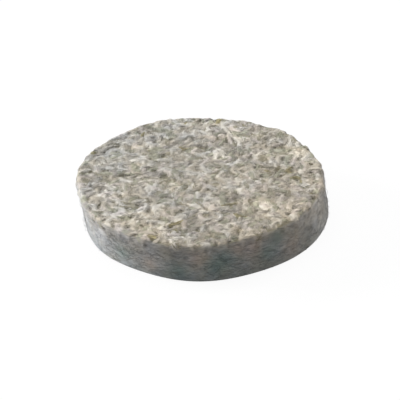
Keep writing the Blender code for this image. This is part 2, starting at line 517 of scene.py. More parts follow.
def arc_line(x, y, heading, length, bend, sway, along):
    """Sheet places and headings on arcs, along from -0.5 to 0.5 of their length. The place is the
    middle plus the chord of an arc whose heading turns by bend * along, plus a sideways sway that
    is a sine of four times the share."""
    bend = np.where(np.abs(bend) < LEAST_BEND, LEAST_BEND, bend)
    turned = heading + bend * along
    radius = length / bend
    off = sway * np.sin(4 * along)
    line_x = x + radius * (np.sin(turned) - np.sin(heading)) - off * np.sin(turned)
    line_y = y - radius * (np.cos(turned) - np.cos(heading)) + off * np.cos(turned)
    return line_x, line_y, turned


def tuft_line(which, along):
    """Places and headings on the tufts' own arcs."""
    parts = ("x", "y", "heading", "length", "bend", "sway")
    return arc_line(*(tufts[part][which][:, None] for part in parts), along)


def tuft_spine(which, along):
    """Lift of a tuft's underside above the body: its level, sinking by a parabola to both ends."""
    level = tufts["level"][which][:, None]
    return NAP_DEPTH * SPINE_SHARE * level * (1 - SPINE_SINK * along**2)


print(f"highest level {tufts['level'].max():.2f}")

# %% [markdown]
# At the rim two more things happen to the nap. The punch pressed it down, so the skin's tufts flatten
# over the edge. It also cut what hung over, so a strand that comes to the rim sinks into the wall.
# Where the rim is fluffy or ragged, less of the nap was pressed and the strands were cut further out.

# %% The pressed and cut rim
PRESS_SHARE = 0.15
PRESS_RUN = 0.45 * MM
CUT_START = (-0.35 * MM, 0.12 * MM)
CUT_RUN = 0.35 * MM
CUT_DIVE = 0.40 * MM
CUT_LIMIT = 1.5


def pressed(x, y):
    """Share of its height that the nap keeps: all of it on the face, and evenly less past the
    start of the edge, down to a small share, or hardly less where the rim is loose."""
    heading = np.arctan2(y, x)
    spared = np.maximum(FLUFF_KEPT * fluff(heading), RAGGED_KEPT * ragged(heading))
    loss = (1 - PRESS_SHARE) * (1 - spared)
    return 1 - loss * np.clip(past_edge(x, y) / PRESS_RUN, 0, 1)


def cut_off(x, y):
    """How far a strand is drawn in: by the square of its share of a short run past the edge. Each
    strand was caught by the punch at a place of its own, and further out where the rim is loose."""
    heading = np.arctan2(y, x)
    begin = (draw.uniform(*CUT_START, (len(x), 1))
             + FLUFF_REACH * fluff(heading) + RAGGED_REACH * ragged(heading))
    return CUT_DIVE * np.clip((past_edge(x, y) - begin) / CUT_RUN, 0, CUT_LIMIT) ** 2


print(f"a pressed rim keeps {PRESS_SHARE:.0%} of the nap's height")

# %% [markdown]
# Felt isn't one colour. It is pressed from mixed waste wool: cream, warm beige, a greyed green, some
# mauve or pink, a dark taupe and here and there an ochre one. The curls are mostly the light wools
# and the bed the darker ones, which is how the eye tells them apart. Each tuft draws its colour from
# this list, a small drift in brightness keeps two neighbours apart, and a full place is lighter than
# a thin one. The clearest ochre tufts are put where the photograph shows them.

# %% Colours of the wool


def linear(code):
    """Linear colour from a six-digit display colour, by the display's own curve."""
    value = np.array([int(code[at:at + 2], 16) for at in (0, 2, 4)]) / 255
    return np.where(value <= 0.04045, value / 12.92, ((value + 0.055) / 1.055) ** 2.4)


WOOL = {                   # display colour, share in the bed, share in the curls
    "cream": ("c5c0b7", 0.08, 0.36),
    "warm_beige": ("b0a89b", 0.26, 0.30),
    "grey_green": ("9d9b8a", 0.23, 0.09),
    "mauve": ("9f988f", 0.12, 0.08),
    "pink_cream": ("c1b8b0", 0.04, 0.14),
    "taupe": ("8b8573", 0.22, 0.02),
    "ochre": ("8e8562", 0.008, 0.004),
}
OCHRE_PLACES = ((2.7, -6.1), (11.2, -3.4), (7.0, -7.9), (8.3, 1.6), (4.8, 11.3))
OCHRE_TUFTS = 2           # tufts round each of those places that are ochre
BODY_FELT = linear("85806d")
WALL_FELT = linear("acaba7")
TUFT_TONES = (0.94, 1.06)
FULL_LIGHTNESS = 0.27     # how much lighter the wool is in a full place, and darker in a thin one

wool_colours = np.array([linear(code) for code, _, _ in WOOL.values()])
bed_shares, curl_shares = np.array([shares for _, *shares in WOOL.values()]).T
wool = np.concatenate([
    draw.choice(len(WOOL), np.count_nonzero(~is_curl), p=bed_shares / bed_shares.sum()),
    draw.choice(len(WOOL), np.count_nonzero(is_curl), p=curl_shares / curl_shares.sum())])
for place_x, place_y in OCHRE_PLACES:
    away = np.hypot(tufts["x"] - place_x * MM, tufts["y"] - place_y * MM)
    wool[np.argsort(away)[:OCHRE_TUFTS]] = list(WOOL).index("ochre")
tuft_colours = wool_colours[wool] * draw.uniform(*TUFT_TONES, (TUFT_COUNT, 1))
tuft_colours *= 1 + FULL_LIGHTNESS * full[:, None]
print("mean wool colour", np.round(tuft_colours.mean(axis=0), 3).tolist())

# %% [markdown]
# The skin needs the height of the nap at any place. Every tuft is painted into a fine square raster
# of the flat sheet, pixel by pixel, and the highest one wins, which is what an eye above would see.
# The raster is then softened, because felt has no sharp steps. A second raster remembers whose
# height it is, so that the skin takes that tuft's colour.

# %% A raster of the flat sheet
PIXEL = 0.05 * MM
RASTER_MARGIN = 3 * MM
RASTER_SIDE = 2 * int((RADIUS + RASTER_MARGIN) / PIXEL) + 1


def pixel_of(x, y):
    """Row-major raster place of a sheet place, as a fraction of a pixel for each axis."""
    return y / PIXEL + RASTER_SIDE // 2, x / PIXEL + RASTER_SIDE // 2


def soften(raster):
    """Each pixel becomes the 1-2-1 mean of itself and its neighbours, along both axes."""
    for axis in (0, 1):
        raster = (np.roll(raster, 1, axis) + 2 * raster + np.roll(raster, -1, axis)) / 4
    return raster


print(f"{RASTER_SIDE} by {RASTER_SIDE} pixels")

# %% Paint the tufts into it
PAINT_STEPS = 26
BLUNTNESS = 1.08          # a tuft's width is the root of this less the fourth power of its share
CORE_SHARE = 0.80         # of a tuft's width is solid, and round it there are only its strands
SOFTENINGS = 8            # passes of blur

everyone = np.arange(TUFT_COUNT)
share = np.broadcast_to(np.linspace(-0.5, 0.5, PAINT_STEPS), (TUFT_COUNT, PAINT_STEPS))
paint_x, paint_y, _ = tuft_line(everyone, share)
spine = tuft_spine(everyone, share)
blunt = np.sqrt(np.clip(BLUNTNESS - (2 * share) ** 4, 0, None))
paint_half = CORE_SHARE * tufts["half_width"][:, None] * blunt
widest = int(np.ceil(paint_half.max() / PIXEL))
brush_row, brush_column = np.mgrid[-widest:widest + 1, -widest:widest + 1].reshape(2, -1)
row, column = pixel_of(paint_x, paint_y)
nap_raster = np.zeros(RASTER_SIDE**2)
owner_raster = np.full(RASTER_SIDE**2, -1)
painted = []
for brush in zip(brush_row, brush_column):
    at_row = np.rint(row).astype(int) + brush[0]
    at_column = np.rint(column).astype(int) + brush[1]
    away = np.hypot(at_row - row, at_column - column) * PIXEL / paint_half
    height = spine + NAP_DEPTH * ROUND_SHARE * np.sqrt(np.clip(1 - away**2, 0, None))
    hit = away < 1
    painted.append((at_row[hit] * RASTER_SIDE + at_column[hit], height[hit],
                    np.broadcast_to(everyone[:, None], share.shape)[hit]))
pixels, painted_height, painter = (np.concatenate(part) for part in zip(*painted))
np.maximum.at(nap_raster, pixels, painted_height)
wins = painted_height >= nap_raster[pixels]
np.maximum.at(owner_raster, pixels[wins], painter[wins])
nap_raster = nap_raster.reshape(RASTER_SIDE, RASTER_SIDE)
for _ in range(SOFTENINGS):
    nap_raster = soften(nap_raster)
owner_raster = owner_raster.reshape(RASTER_SIDE, RASTER_SIDE)
print(f"{len(pixels)} dabs of paint")

# %% Read the raster


def sample_nap(x, y):
    """Height of the nap at sheet places, blended between the four nearest pixels, and its owner."""
    at_row, at_column = (np.clip(part, 0, RASTER_SIDE - 2) for part in pixel_of(x, y))
    top, side = np.floor(at_row).astype(int), np.floor(at_column).astype(int)
    f, g = at_row - top, at_column - side
    upper = nap_raster[top, side] * (1 - g) + nap_raster[top, side + 1] * g
    lower = nap_raster[top + 1, side] * (1 - g) + nap_raster[top + 1, side + 1] * g
    owner = owner_raster[np.rint(at_row).astype(int), np.rint(at_column).astype(int)]
    return upper * (1 - f) + lower * f, owner


print(f"the nap's highest pixel is {nap_raster.max() / MM:.2f} mm up")

# %% [markdown]
# The skin is one closed surface. A square grid opened into a disc covers the face with even cells
# and has no pinched middle, where rings of triangles would bunch up. Its border is then carried
# over the edge and down the wall as rows of the same points, round the foot and in to the centre.

# %% A grid for a disc, and its border


def open_square(cells):
    """Plan places of a grid on the square from -1 to 1, opened into a circle. The distance out is
    the larger coordinate, and the heading runs evenly along each side of every nested square."""
    ticks = np.linspace(-1, 1, cells + 1)
    a, b = np.meshgrid(ticks, ticks)
    wide = np.abs(a) > np.abs(b)
    big = np.where(wide, a, b)
    small = np.where(wide, b, a)
    bend = np.pi / 4 * small / np.where(big == 0, 1, big)
    heading = np.where(wide, bend, np.pi / 2 - bend)
    x, y = at_heading(heading, big)
    return x.ravel(), y.ravel()


def border_of(cells):
    """Grid places round the border, anticlockwise from the first corner."""
    side = cells + 1
    grid = np.arange(side * side).reshape(side, side)
    return np.concatenate([grid[0, :-1], grid[:-1, -1], grid[-1, :0:-1], grid[:0:-1, 0]])


def band(rows, columns):
    """Triangles between closed rows of points, each row one step further on, as (row, column)."""
    row, column = np.mgrid[0:rows - 1, 0:columns]
    row, column = row.ravel(), column.ravel()
    upper_left, upper_right = (row, column), (row, column + 1)
    lower_left, lower_right = (row + 1, column), (row + 1, column + 1)
    first = [lower_left, lower_right, upper_right]
    second = [lower_left, upper_right, upper_left]
    return np.concatenate([np.array(first).transpose(2, 0, 1), np.array(second).transpose(2, 0, 1)])


FACE_CELLS = 200
disc_x, disc_y = open_square(FACE_CELLS)
disc_share = np.hypot(disc_x, disc_y)
disc_heading = np.arctan2(disc_y, disc_x)
face_x, face_y = at_heading(disc_heading, disc_share * edge_start(disc_heading))
border = border_of(FACE_CELLS)
border_heading = disc_heading[border]
columns = len(border)
print(f"face of {FACE_CELLS} by {FACE_CELLS} cells, {columns} points round the rim")

# %% [markdown]
# The face takes its height from the raster, with a little grain. The wall was cut, so it is denser,
# but the punch also tore at the wool: its relief is three random fields one over another. Their
# cells are flat and wide, because the layers of wool lie flat in the sheet.

# %% The skin's face and wall
WALL_ROWS = 40
WALL_RELIEFS = (           # cell, height
    ((1.6 * MM, 1.6 * MM, 0.50 * MM), 0.045 * MM),
    ((0.55 * MM, 0.55 * MM, 0.22 * MM), 0.022 * MM),
    ((0.25 * MM, 0.25 * MM, 0.14 * MM), 0.010 * MM),
)
FACE_GRAIN_CELL = (0.3 * MM, 0.3 * MM, 0.3 * MM)
FACE_GRAIN = 0.03 * MM
FOOT_FADE = 0.4 * MM      # the relief fades out this far above the rounded foot

past = np.linspace(0, SHEET_RUN, WALL_ROWS + 1)[1:, None]
wall_x, wall_y = at_heading(border_heading, edge_start(border_heading) + past)
sheet_x = np.concatenate([face_x, wall_x.ravel()])
sheet_y = np.concatenate([face_y, wall_y.ravel()])
smooth_skin, skin_normal = on_pad(sheet_x, sheet_y, np.zeros(len(sheet_x)))
nap_lift, owner = sample_nap(sheet_x, sheet_y)
nap_lift = nap_lift * pressed(sheet_x, sheet_y)
wall_share = np.hypot(skin_normal[:, 0], skin_normal[:, 1])
relief = sum(height * lattice_noise(smooth_skin, cell) for cell, height in WALL_RELIEFS)
grain = FACE_GRAIN * lattice_noise(smooth_skin, FACE_GRAIN_CELL)
foot_fade = np.clip((smooth_skin[:, 2] - FOOT_ROUND) / FOOT_FADE, 0, 1)
skin_lift = nap_lift + grain * (1 - wall_share) + relief * wall_share * foot_fade
skin_points = smooth_skin + skin_lift[:, None] * skin_normal
print(f"the skin is lifted by {skin_lift.min() / MM:.2f} to {skin_lift.max() / MM:.2f} mm")

# %% Its foot and base
FOOT_STEPS = 3
BASE_RINGS = (0.93, 0.6, 0.25)

turns = QUARTER * np.arange(1, FOOT_STEPS + 1)[:, None] / FOOT_STEPS
foot_z = FOOT_ROUND * (1 - np.sin(turns)) + np.zeros(columns)
foot_out = rim_radius(border_heading, foot_z) - FOOT_ROUND * (1 - np.cos(turns))
base_out = foot_out[-1] * np.array(BASE_RINGS)[:, None]
low_out = np.concatenate([foot_out, base_out])
low_z = np.concatenate([foot_z, np.zeros_like(base_out)])
low_points = np.stack([*at_heading(border_heading, low_out), low_z], axis=-1)
skin_points = np.concatenate([skin_points, low_points.reshape(-1, 3), np.zeros((1, 3))])

face_row, face_column = np.mgrid[0:FACE_CELLS, 0:FACE_CELLS].reshape(2, -1)
first = face_row * (FACE_CELLS + 1) + face_column
above = first + FACE_CELLS + 1
face_triangles = np.concatenate([
    np.stack([first, first + 1, above + 1], axis=1), np.stack([first, above + 1, above], axis=1)])
rows = 1 + WALL_ROWS + FOOT_STEPS + len(BASE_RINGS)
row_points = np.concatenate([border, len(face_x) + np.arange((rows - 1) * columns)])
row_points = row_points.reshape(rows, columns)
strip = band(rows, columns)
strip_triangles = row_points[strip[..., 0], strip[..., 1] % columns]
middle = np.full(columns, len(skin_points) - 1)
fan_triangles = np.stack([middle, np.roll(row_points[-1], -1), row_points[-1]], axis=1)
skin_triangles = np.concatenate([face_triangles, strip_triangles, fan_triangles])
print(f"{rows} rows from the rim to the middle of the base")

# %% [markdown]
# The texture space is cut up plainly: a large disc for the face, a small one for the base, and the
# wall in four strips one above the other.

# %% The skin's texture space
FACE_DISC = ((0.31, 0.31), 0.30)
BASE_DISC = ((0.80, 0.20), 0.18)
DISC_MARGIN = 1.06
WALL_STRIPS = 4
STRIP_CORNER = (0.02, 0.63)
STRIP_SIZE = (0.94, 0.08)
STRIP_PITCH = 0.09


def disc_uv(points, disc):
    """Plan places scaled so that the pad's largest radius fills the disc."""
    centre, reach = disc
    return np.array(centre) + points[..., :2] / (DISC_MARGIN * RADIUS) * reach


wall_rows = rows - len(BASE_RINGS)
on_base = strip[..., 0].max(axis=1) >= wall_rows
which_strip = strip[:, :, 1].min(axis=1)[:, None] // (columns // WALL_STRIPS)
along_strip = strip[..., 1] / (columns // WALL_STRIPS) - which_strip
strip_uv = np.stack([
    STRIP_CORNER[0] + STRIP_SIZE[0] * along_strip,
    STRIP_CORNER[1] + STRIP_PITCH * which_strip + STRIP_SIZE[1] * strip[..., 0] / wall_rows,
], axis=-1)
strip_uv = np.where(
    on_base[:, None, None], disc_uv(skin_points[strip_triangles], BASE_DISC), strip_uv)
skin_uv = np.concatenate([
    disc_uv(skin_points[face_triangles], FACE_DISC), strip_uv,
    disc_uv(skin_points[fan_triangles], BASE_DISC)])
print(f"texture space from {skin_uv.min():.2f} to {skin_uv.max():.2f}")

# %% [markdown]
# The cut wall isn't one grey either. Where the punch went through a clump of one wool, a patch of
# it shows: teal, reddish brown or dark. The large ones are put where the photograph shows them,
# round the half that it shows. Among them, pale bluish ones at the two ends that the lamps light are
# painted light, and three wide cold ones at the front of the foot are painted shade by the floor. A
# random field adds small ones all round.

# %% Patches of wool, painted light and painted shade in the wall
TEAL, RUSSET = (0.65, 0.78, 0.77), (1.18, 1.04, 0.98)
# The pale tone is painted light: paler and bluish, on the ends of the wall that the lamps light. The
# dark one is wool.
PAINTED_LIGHT_PALE, DARK = (1.20, 1.21, 1.23), (0.71, 0.72, 0.72)
# Painted shade: a cooler tone at the front of the wall's foot, by the floor.
PAINTED_FOOT_SHADE = (0.955, 1.00, 1.03)
WALL_SPOTS = (             # heading in degrees, height and radius in mm, tone
    (190, 2.8, 1.0, PAINTED_LIGHT_PALE), (201, 3.0, 0.7, PAINTED_LIGHT_PALE), (209, 1.5, 1.0, PAINTED_LIGHT_PALE), (215, 3.4, 0.7, PAINTED_LIGHT_PALE),
    (222, 2.9, 0.8, DARK), (229, 3.6, 0.6, DARK), (228, 1.8, 0.7, TEAL), (236, 2.6, 0.8, DARK),
    (243, 1.6, 0.7, RUSSET), (249, 3.9, 0.5, DARK), (256, 3.4, 0.8, DARK), (257, 1.3, 0.8, TEAL),
    (266, 2.8, 0.8, RUSSET), (273, 1.9, 0.9, TEAL), (278, 2.8, 1.0, TEAL), (283, 3.6, 0.6, RUSSET),
    (292, 3.2, 0.9, RUSSET), (299, 2.2, 0.8, TEAL), (305, 3.6, 0.7, TEAL), (313, 1.4, 0.9, RUSSET),
    (326, 1.4, 0.9, DARK), (336, 3.2, 0.9, PAINTED_LIGHT_PALE),
    (255, 0.3, 2.4, PAINTED_FOOT_SHADE), (280, 0.3, 2.4, PAINTED_FOOT_SHADE), (305, 0.3, 2.4, PAINTED_FOOT_SHADE))
MOTTLE_CELL = (0.65 * MM, 0.65 * MM, 0.50 * MM)
MOTTLE_STRENGTH = 0.13


def wall_wool_and_painted_light(points):
    """A tone for each point: one, drawn towards each spot's tone by a bell of the distance along
    the wall and up it, times one plus a random field."""
    heading = np.arctan2(points[:, 1], points[:, 0])
    tone = np.ones((len(points), 3))
    for spot_heading, spot_height, reach, spot_tone in WALL_SPOTS:
        turned = turned_from(heading, math.radians(spot_heading))
        away = np.hypot(turned * RADIUS, points[:, 2] - spot_height * MM) / (reach * MM)
        tone *= 1 + np.exp(-away**2 / 2)[:, None] * (np.array(spot_tone) - 1)
    return tone * (1 + MOTTLE_STRENGTH * lattice_noise(points, MOTTLE_CELL)[:, None])


print(f"{len(WALL_SPOTS)} patches in the wall")

# %% [markdown]
# The skin's colours: a place that a tuft covers has that tuft's colour, and any other is the darker
# felt of the body. Two more numbers go with each point for its material: how much of it is wall,
# and how deep it lies in the nap, because the hollows catch less light, and that shade is painted in.

# %% Make the skin
NAP_END = 0.4             # share of the quarter turn over the edge where the tufts' colour ends
HOLLOW_BELOW = 0.6        # share of the nap's depth below which a place counts as a hollow

extra = len(skin_points) - len(sheet_x)
bare = BODY_FELT + (WALL_FELT - BODY_FELT) * wall_share[:, None]
napped = (owner >= 0) & (wall_share < NAP_END)
skin_colours = np.where(napped[:, None], tuft_colours[owner], bare)
skin_colours = np.concatenate([skin_colours, np.tile(WALL_FELT, (extra, 1))])
wall_value = np.concatenate([wall_share, np.ones(extra)])
skin_colours *= 1 + wall_value[:, None] * (wall_wool_and_painted_light(skin_points) - 1)
# Painted shade: the deeper a place lies in the nap, the darker it is painted.
hollow_shade = np.clip(1 - nap_lift / (HOLLOW_BELOW * NAP_DEPTH), 0, 1) * (1 - wall_share)
hollow_shade = np.concatenate([hollow_shade, np.zeros(extra)])
skin_facing = np.concatenate([skin_normal, np.tile((0.0, 0.0, -1.0), (extra, 1))])
skin = make_piece("felt_skin", skin_points, skin_triangles, skin_uv, skin_colours, skin_facing,
                  {"wall": wall_value, "hollow_shade": hollow_shade})
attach(skin, "root")
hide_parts(NODE)

# %% [markdown]
# A strand of fibres is far too fine for a wide mesh, but it is what makes felt read as felt. Each one
# is a slim three-sided tube on a smooth path, pointed at both ends, pressed flat, with its flat side
# outward. Thousands are made at once: every array below has one row a strand. Seven places on the
# path give thirty triangles.

# %% The triangles of one strand
SIDES = 3
STRAND_PLACES = 7
STRAND_MIDDLE = STRAND_PLACES // 2
STRAND_SHARE = np.linspace(-0.5, 0.5, STRAND_PLACES)
TO_END = 2 * np.abs(STRAND_SHARE)  # 0 in the middle of a strand and 1 at both ends


def strand_pattern(rings):
    """Triangles of one strand, and their UVs on the unit square: u runs round it and v along it."""
    faces, uv = [], []
    last = 1 + SIDES * rings
    for side in range(SIDES):
        near, far = side / SIDES, (side + 1) / SIDES
        after = (side + 1) % SIDES
        faces.append((0, 1 + side, 1 + after))
        uv.append(((near, 0), (near, 1 / (rings + 1)), (far, 1 / (rings + 1))))
        for ring in range(rings - 1):
            a, b = 1 + SIDES * ring + side, 1 + SIDES * ring + after
            low_v, high_v = (ring + 1) / (rings + 1), (ring + 2) / (rings + 1)
            faces += [(a, b + SIDES, b), (a, a + SIDES, b + SIDES)]
            uv += [((near, low_v), (far, high_v), (far, low_v)),
                   ((near, low_v), (near, high_v), (far, high_v))]
        faces.append((last, last - SIDES + after, last - SIDES + side))
        uv.append(((near, 1), (far, rings / (rings + 1)), (near, rings / (rings + 1))))
    return np.array(faces), np.array(uv)


print(f"a strand has {len(strand_pattern(STRAND_PLACES - 2)[0])} triangles")

# %% A piece of strands
TAPER = 0.75
UV_MARGIN = 0.1           # of a strand's own square of the texture space


def make_strands(name, path, normal, thickness, flatness, colours, values):
    """A piece of strands. Each ring is the path's place plus the strand's half thickness times the
    cosine of an angle along the side direction, which is the tangent crossed with the pad's normal,
    and its sine along the other, times the flatness. The first angle points down, so a flat side
    faces out. Thickness fades to both ends by the root of one less a share of the fourth power."""
    count, places = path.shape[:2]
    tangent = np.gradient(path, axis=1)
    tangent /= np.linalg.norm(tangent, axis=2, keepdims=True)
    side = np.cross(tangent, normal)
    side /= np.linalg.norm(side, axis=2, keepdims=True)
    rise = flatness * np.cross(side, tangent)
    along = np.linspace(-1, 1, places)
    half = thickness[:, None] / 2 * np.sqrt(1 - TAPER * along**4)
    angle = 2 * np.pi * np.arange(SIDES) / SIDES - np.pi / 2
    ring = (np.cos(angle)[:, None] * side[:, :, None] + np.sin(angle)[:, None] * rise[:, :, None])
    ring = path[:, :, None] + half[:, :, None, None] * ring
    points = np.concatenate(
        [path[:, :1], ring[:, 1:-1].reshape(count, -1, 3), path[:, -1:]], axis=1)
    facing = np.concatenate(
        [normal[:, :1], np.repeat(normal[:, 1:-1], SIDES, axis=1), normal[:, -1:]], axis=1)
    faces, face_uv = strand_pattern(places - 2)
    per_point = points.shape[1]
    start = np.arange(count)[:, None, None] * per_point
    cells = int(np.ceil(np.sqrt(count)))
    cell = np.stack([np.arange(count) % cells, np.arange(count) // cells], axis=1)
    uv = (cell[:, None, None] + UV_MARGIN + (1 - 2 * UV_MARGIN) * face_uv) / cells
    return make_piece(name, points.reshape(-1, 3), (start + faces).reshape(-1, 3),
                      uv.reshape(-1, 3, 2), np.repeat(colours, per_point, axis=0),
                      facing.reshape(-1, 3),
                      {key: np.repeat(value, per_point) for key, value in values.items()})


# %% [markdown]
# Each tuft becomes a wisp. Its strands start from places scattered along and across its line, most
# of them near the middle, and each goes its own way a little: its heading, its bend and its length
# differ from the tuft's. So a wisp is dense in its core and open at its edges, where it runs into
# the next. The ends dive into the body, so that nothing stands up like a cut wire, and each strand
# is drawn half way towards the skin, because felt is pressed. A strand whose middle lies well under
# another tuft would never be seen and is left out.

# %% Where the nap's strands lie
STRANDS_PER_TUFT = 16
STRAND_THICKNESS = 0.070 * MM
STRAND_LENGTHS = (0.45, 1.05)  # of the tuft's
STRAND_SLIDE = 0.30       # of the tuft's length, along it
STRAND_SCATTER = 0.50     # of its half width, across it
SCATTER_LIMIT = 1.3
STRAND_TURN = 0.28        # spread of the headings in a wisp, in radians
STRAND_CURL = 0.6         # spread of the bends, in radians

whose = np.repeat(everyone, STRANDS_PER_TUFT)
count = len(whose)
slid = draw.uniform(-STRAND_SLIDE, STRAND_SLIDE, (count, 1))
root_x, root_y, root_heading = tuft_line(whose, slid)
scatter = np.clip(draw.normal(0, STRAND_SCATTER, (count, 1)), -SCATTER_LIMIT, SCATTER_LIMIT)
across = scatter * tufts["half_width"][whose][:, None]
root_x = root_x - across * np.sin(root_heading)
root_y = root_y + across * np.cos(root_heading)
length_share = draw.uniform(*STRAND_LENGTHS, (count, 1))
length = length_share * tufts["length"][whose][:, None]
bend = length_share * tufts["bend"][whose][:, None] + draw.normal(0, STRAND_CURL, (count, 1))
turn = root_heading + draw.normal(0, STRAND_TURN, (count, 1))
sway = draw.normal(0, STRAND_THICKNESS, (count, 1))
x, y, _ = arc_line(root_x, root_y, turn, length, bend, sway, STRAND_SHARE)
print(f"{count} strands, {length.mean() / MM:.2f} mm long on average")

# %% How high they lie, and which are seen
STRAND_RISE = (-0.5, 0.4)  # of the thickness, so that strands lie over and under each other
STRAND_DIVE = 0.12 * MM
SPINE_END = 0.6           # the furthest along a tuft that its height is read
BURIED = 0.05 * MM
STAND_SHARE = 0.5         # of its own height above the skin that a strand keeps
NAP_STRAND_LIMIT = 17500

lift = tuft_spine(whose, np.clip(slid + length_share * STRAND_SHARE, -SPINE_END, SPINE_END))
lift += NAP_DEPTH * ROUND_SHARE * np.sqrt(np.clip(1 - scatter**2, 0, None))
lift += STRAND_THICKNESS * draw.uniform(*STRAND_RISE, (count, 1))
lift -= STRAND_DIVE * TO_END**4
ground, _ = sample_nap(x, y)
shown = lift[:, STRAND_MIDDLE] > ground[:, STRAND_MIDDLE] - BURIED
shown = draw.permutation(np.flatnonzero(shown))[:NAP_STRAND_LIMIT]
lift = ground + STAND_SHARE * (lift - ground)
lift = lift * pressed(x, y) - cut_off(x, y)
nap_path, nap_normal = on_pad(x[shown], y[shown], lift[shown])
print(f"{len(shown)} of {count} strands kept")

# %% Make the nap's strands
STRAND_SIZES = (0.7, 1.3)
STRAND_TONES = (0.97, 1.03)
NAP_FLATNESS = 0.6        # height of a strand over its width
NAP_PIECES = 4

nap_colours = tuft_colours[whose[shown]] * draw.uniform(*STRAND_TONES, (len(shown), 1))
nap_thickness = STRAND_THICKNESS * draw.uniform(*STRAND_SIZES, len(shown))
pieces = [skin]
for number, part in enumerate(np.array_split(np.arange(len(shown)), NAP_PIECES), start=1):
    pieces.append(make_strands(f"nap_strands_{number}", nap_path[part], nap_normal[part],
                               nap_thickness[part], NAP_FLATNESS, nap_colours[part], {}))

# %% [markdown]
# Between the tufts run loose fibres, one by one, longer and finer than a tuft's and at any heading.
# They are laid over the nap: each takes the height of what is under it, evened out along its path,
# so that it bridges the narrow gaps between tufts. Its colour is partly its own wool's and mostly
# that of what it crosses. They are what binds the wisps into one cloth.

# %% Loose fibres over the nap
LOOSE_FIBRES = 4200
LOOSE_LENGTH = (1.2 * MM, 3.0 * MM)
LOOSE_OVERHANG = 0.3 * MM
LOOSE_BEND = 2.2
LOOSE_THICKNESS = 0.038 * MM
LOOSE_SIZES = (0.6, 1.3)
LOOSE_SINK = 0.02 * MM
LOOSE_DIVE = 0.12 * MM
LOOSE_OWN = 0.35          # share of its own wool in a loose fibre's colour

loose_around = draw.uniform(0, 2 * np.pi, LOOSE_FIBRES)
loose_far = np.sqrt(draw.random(LOOSE_FIBRES)) * (edge_start(loose_around) + LOOSE_OVERHANG)
loose_bend = draw.uniform(-LOOSE_BEND, LOOSE_BEND, (LOOSE_FIBRES, 1))
loose_step = draw.uniform(*LOOSE_LENGTH, (LOOSE_FIBRES, 1)) / (STRAND_PLACES - 1)
loose_heading = draw.uniform(0, 2 * np.pi, (LOOSE_FIBRES, 1)) + loose_bend * STRAND_SHARE
loose_x = np.cumsum(np.cos(loose_heading) * loose_step, axis=1)
loose_y = np.cumsum(np.sin(loose_heading) * loose_step, axis=1)
middle_x, middle_y = at_heading(loose_around, loose_far)
loose_x += (middle_x - loose_x[:, STRAND_MIDDLE])[:, None]
loose_y += (middle_y - loose_y[:, STRAND_MIDDLE])[:, None]
under, under_owner = sample_nap(loose_x, loose_y)
before, after = np.roll(under, 1, axis=1), np.roll(under, -1, axis=1)
before[:, 0], after[:, -1] = under[:, 0], under[:, -1]
laid = np.maximum(under, (before + after) / 2) - LOOSE_SINK
laid -= LOOSE_DIVE * TO_END**6
laid = laid * pressed(loose_x, loose_y) - cut_off(loose_x, loose_y)
loose_path, loose_normal = on_pad(loose_x, loose_y, laid)
loose_shares = bed_shares + 2 * curl_shares  # more of the light wools than of the dark ones
loose_shares /= loose_shares.sum()
loose_wool = wool_colours[draw.choice(len(WOOL), LOOSE_FIBRES, p=loose_shares)]
lies_on = under_owner[:, STRAND_MIDDLE]
under_wool = np.where(lies_on[:, None] < 0, BODY_FELT, tuft_colours[lies_on])
loose_wool = LOOSE_OWN * loose_wool + (1 - LOOSE_OWN) * under_wool
pieces.append(make_strands(
    "loose_fibres", loose_path, loose_normal,
    LOOSE_THICKNESS * draw.uniform(*LOOSE_SIZES, LOOSE_FIBRES), NAP_FLATNESS, loose_wool, {}))

# %% [markdown]
# Fibres in the cut wall lie nearly level, along the layers. They cover nearly all of it, in the
# wall's own mixed wool. The punch pressed them quite flat, so each is laid on the skin's relief and
# only just shows above it. One that bridged the hollows instead would draw a dark line of shade. The
# lines that they follow come first, with the relief below them.

# %% Lines on the wall
LINE_START = 0.4          # share of the edge's radius past its start where they begin
LINE_WAVE = 5             # turn of the sideways sine along a line, in radians
LINE_PHASES = (0, 6)      # spread of where the sine starts


def wall_lines(number, length, tilt, sway):
    """Sheet places of lines on the wall: each heads round the rim, turned by its tilt, with a
    sideways sine of height sway."""
    around = draw.uniform(0, 2 * np.pi, number)[:, None]
    begin = EDGE_ROUND * LINE_START
    run = edge_start(around) + draw.uniform(begin, SHEET_RUN, (number, 1))
    along = STRAND_SHARE * length[:, None]
    phase = draw.uniform(*LINE_PHASES, (number, 1))
    off = sway[:, None] * np.sin(LINE_WAVE * STRAND_SHARE + phase)
    around = around + (along * np.cos(tilt[:, None]) - off * np.sin(tilt[:, None])) / run
    run = run + along * np.sin(tilt[:, None]) + off * np.cos(tilt[:, None])
    run = np.minimum(run, edge_start(around) + SHEET_RUN)
    return at_heading(around, run)


wall_lifts = skin_lift[len(face_x):].reshape(WALL_ROWS, columns)


def wall_lift(x, y):
    """Lift of the skin at sheet places on the wall, from its nearest point: the rows are evenly
    spaced down the wall, and the columns are evenly spaced in heading."""
    heading = np.arctan2(y, x)
    row = np.rint((np.hypot(x, y) - edge_start(heading)) / past[0, 0]).astype(int) - 1
    column = np.rint((heading - border_heading[0]) / (2 * np.pi / columns)).astype(int)
    return wall_lifts[np.clip(row, 0, WALL_ROWS - 1), column % columns]


print(f"the wall's relief is {wall_lifts.std() / MM:.3f} mm on average")

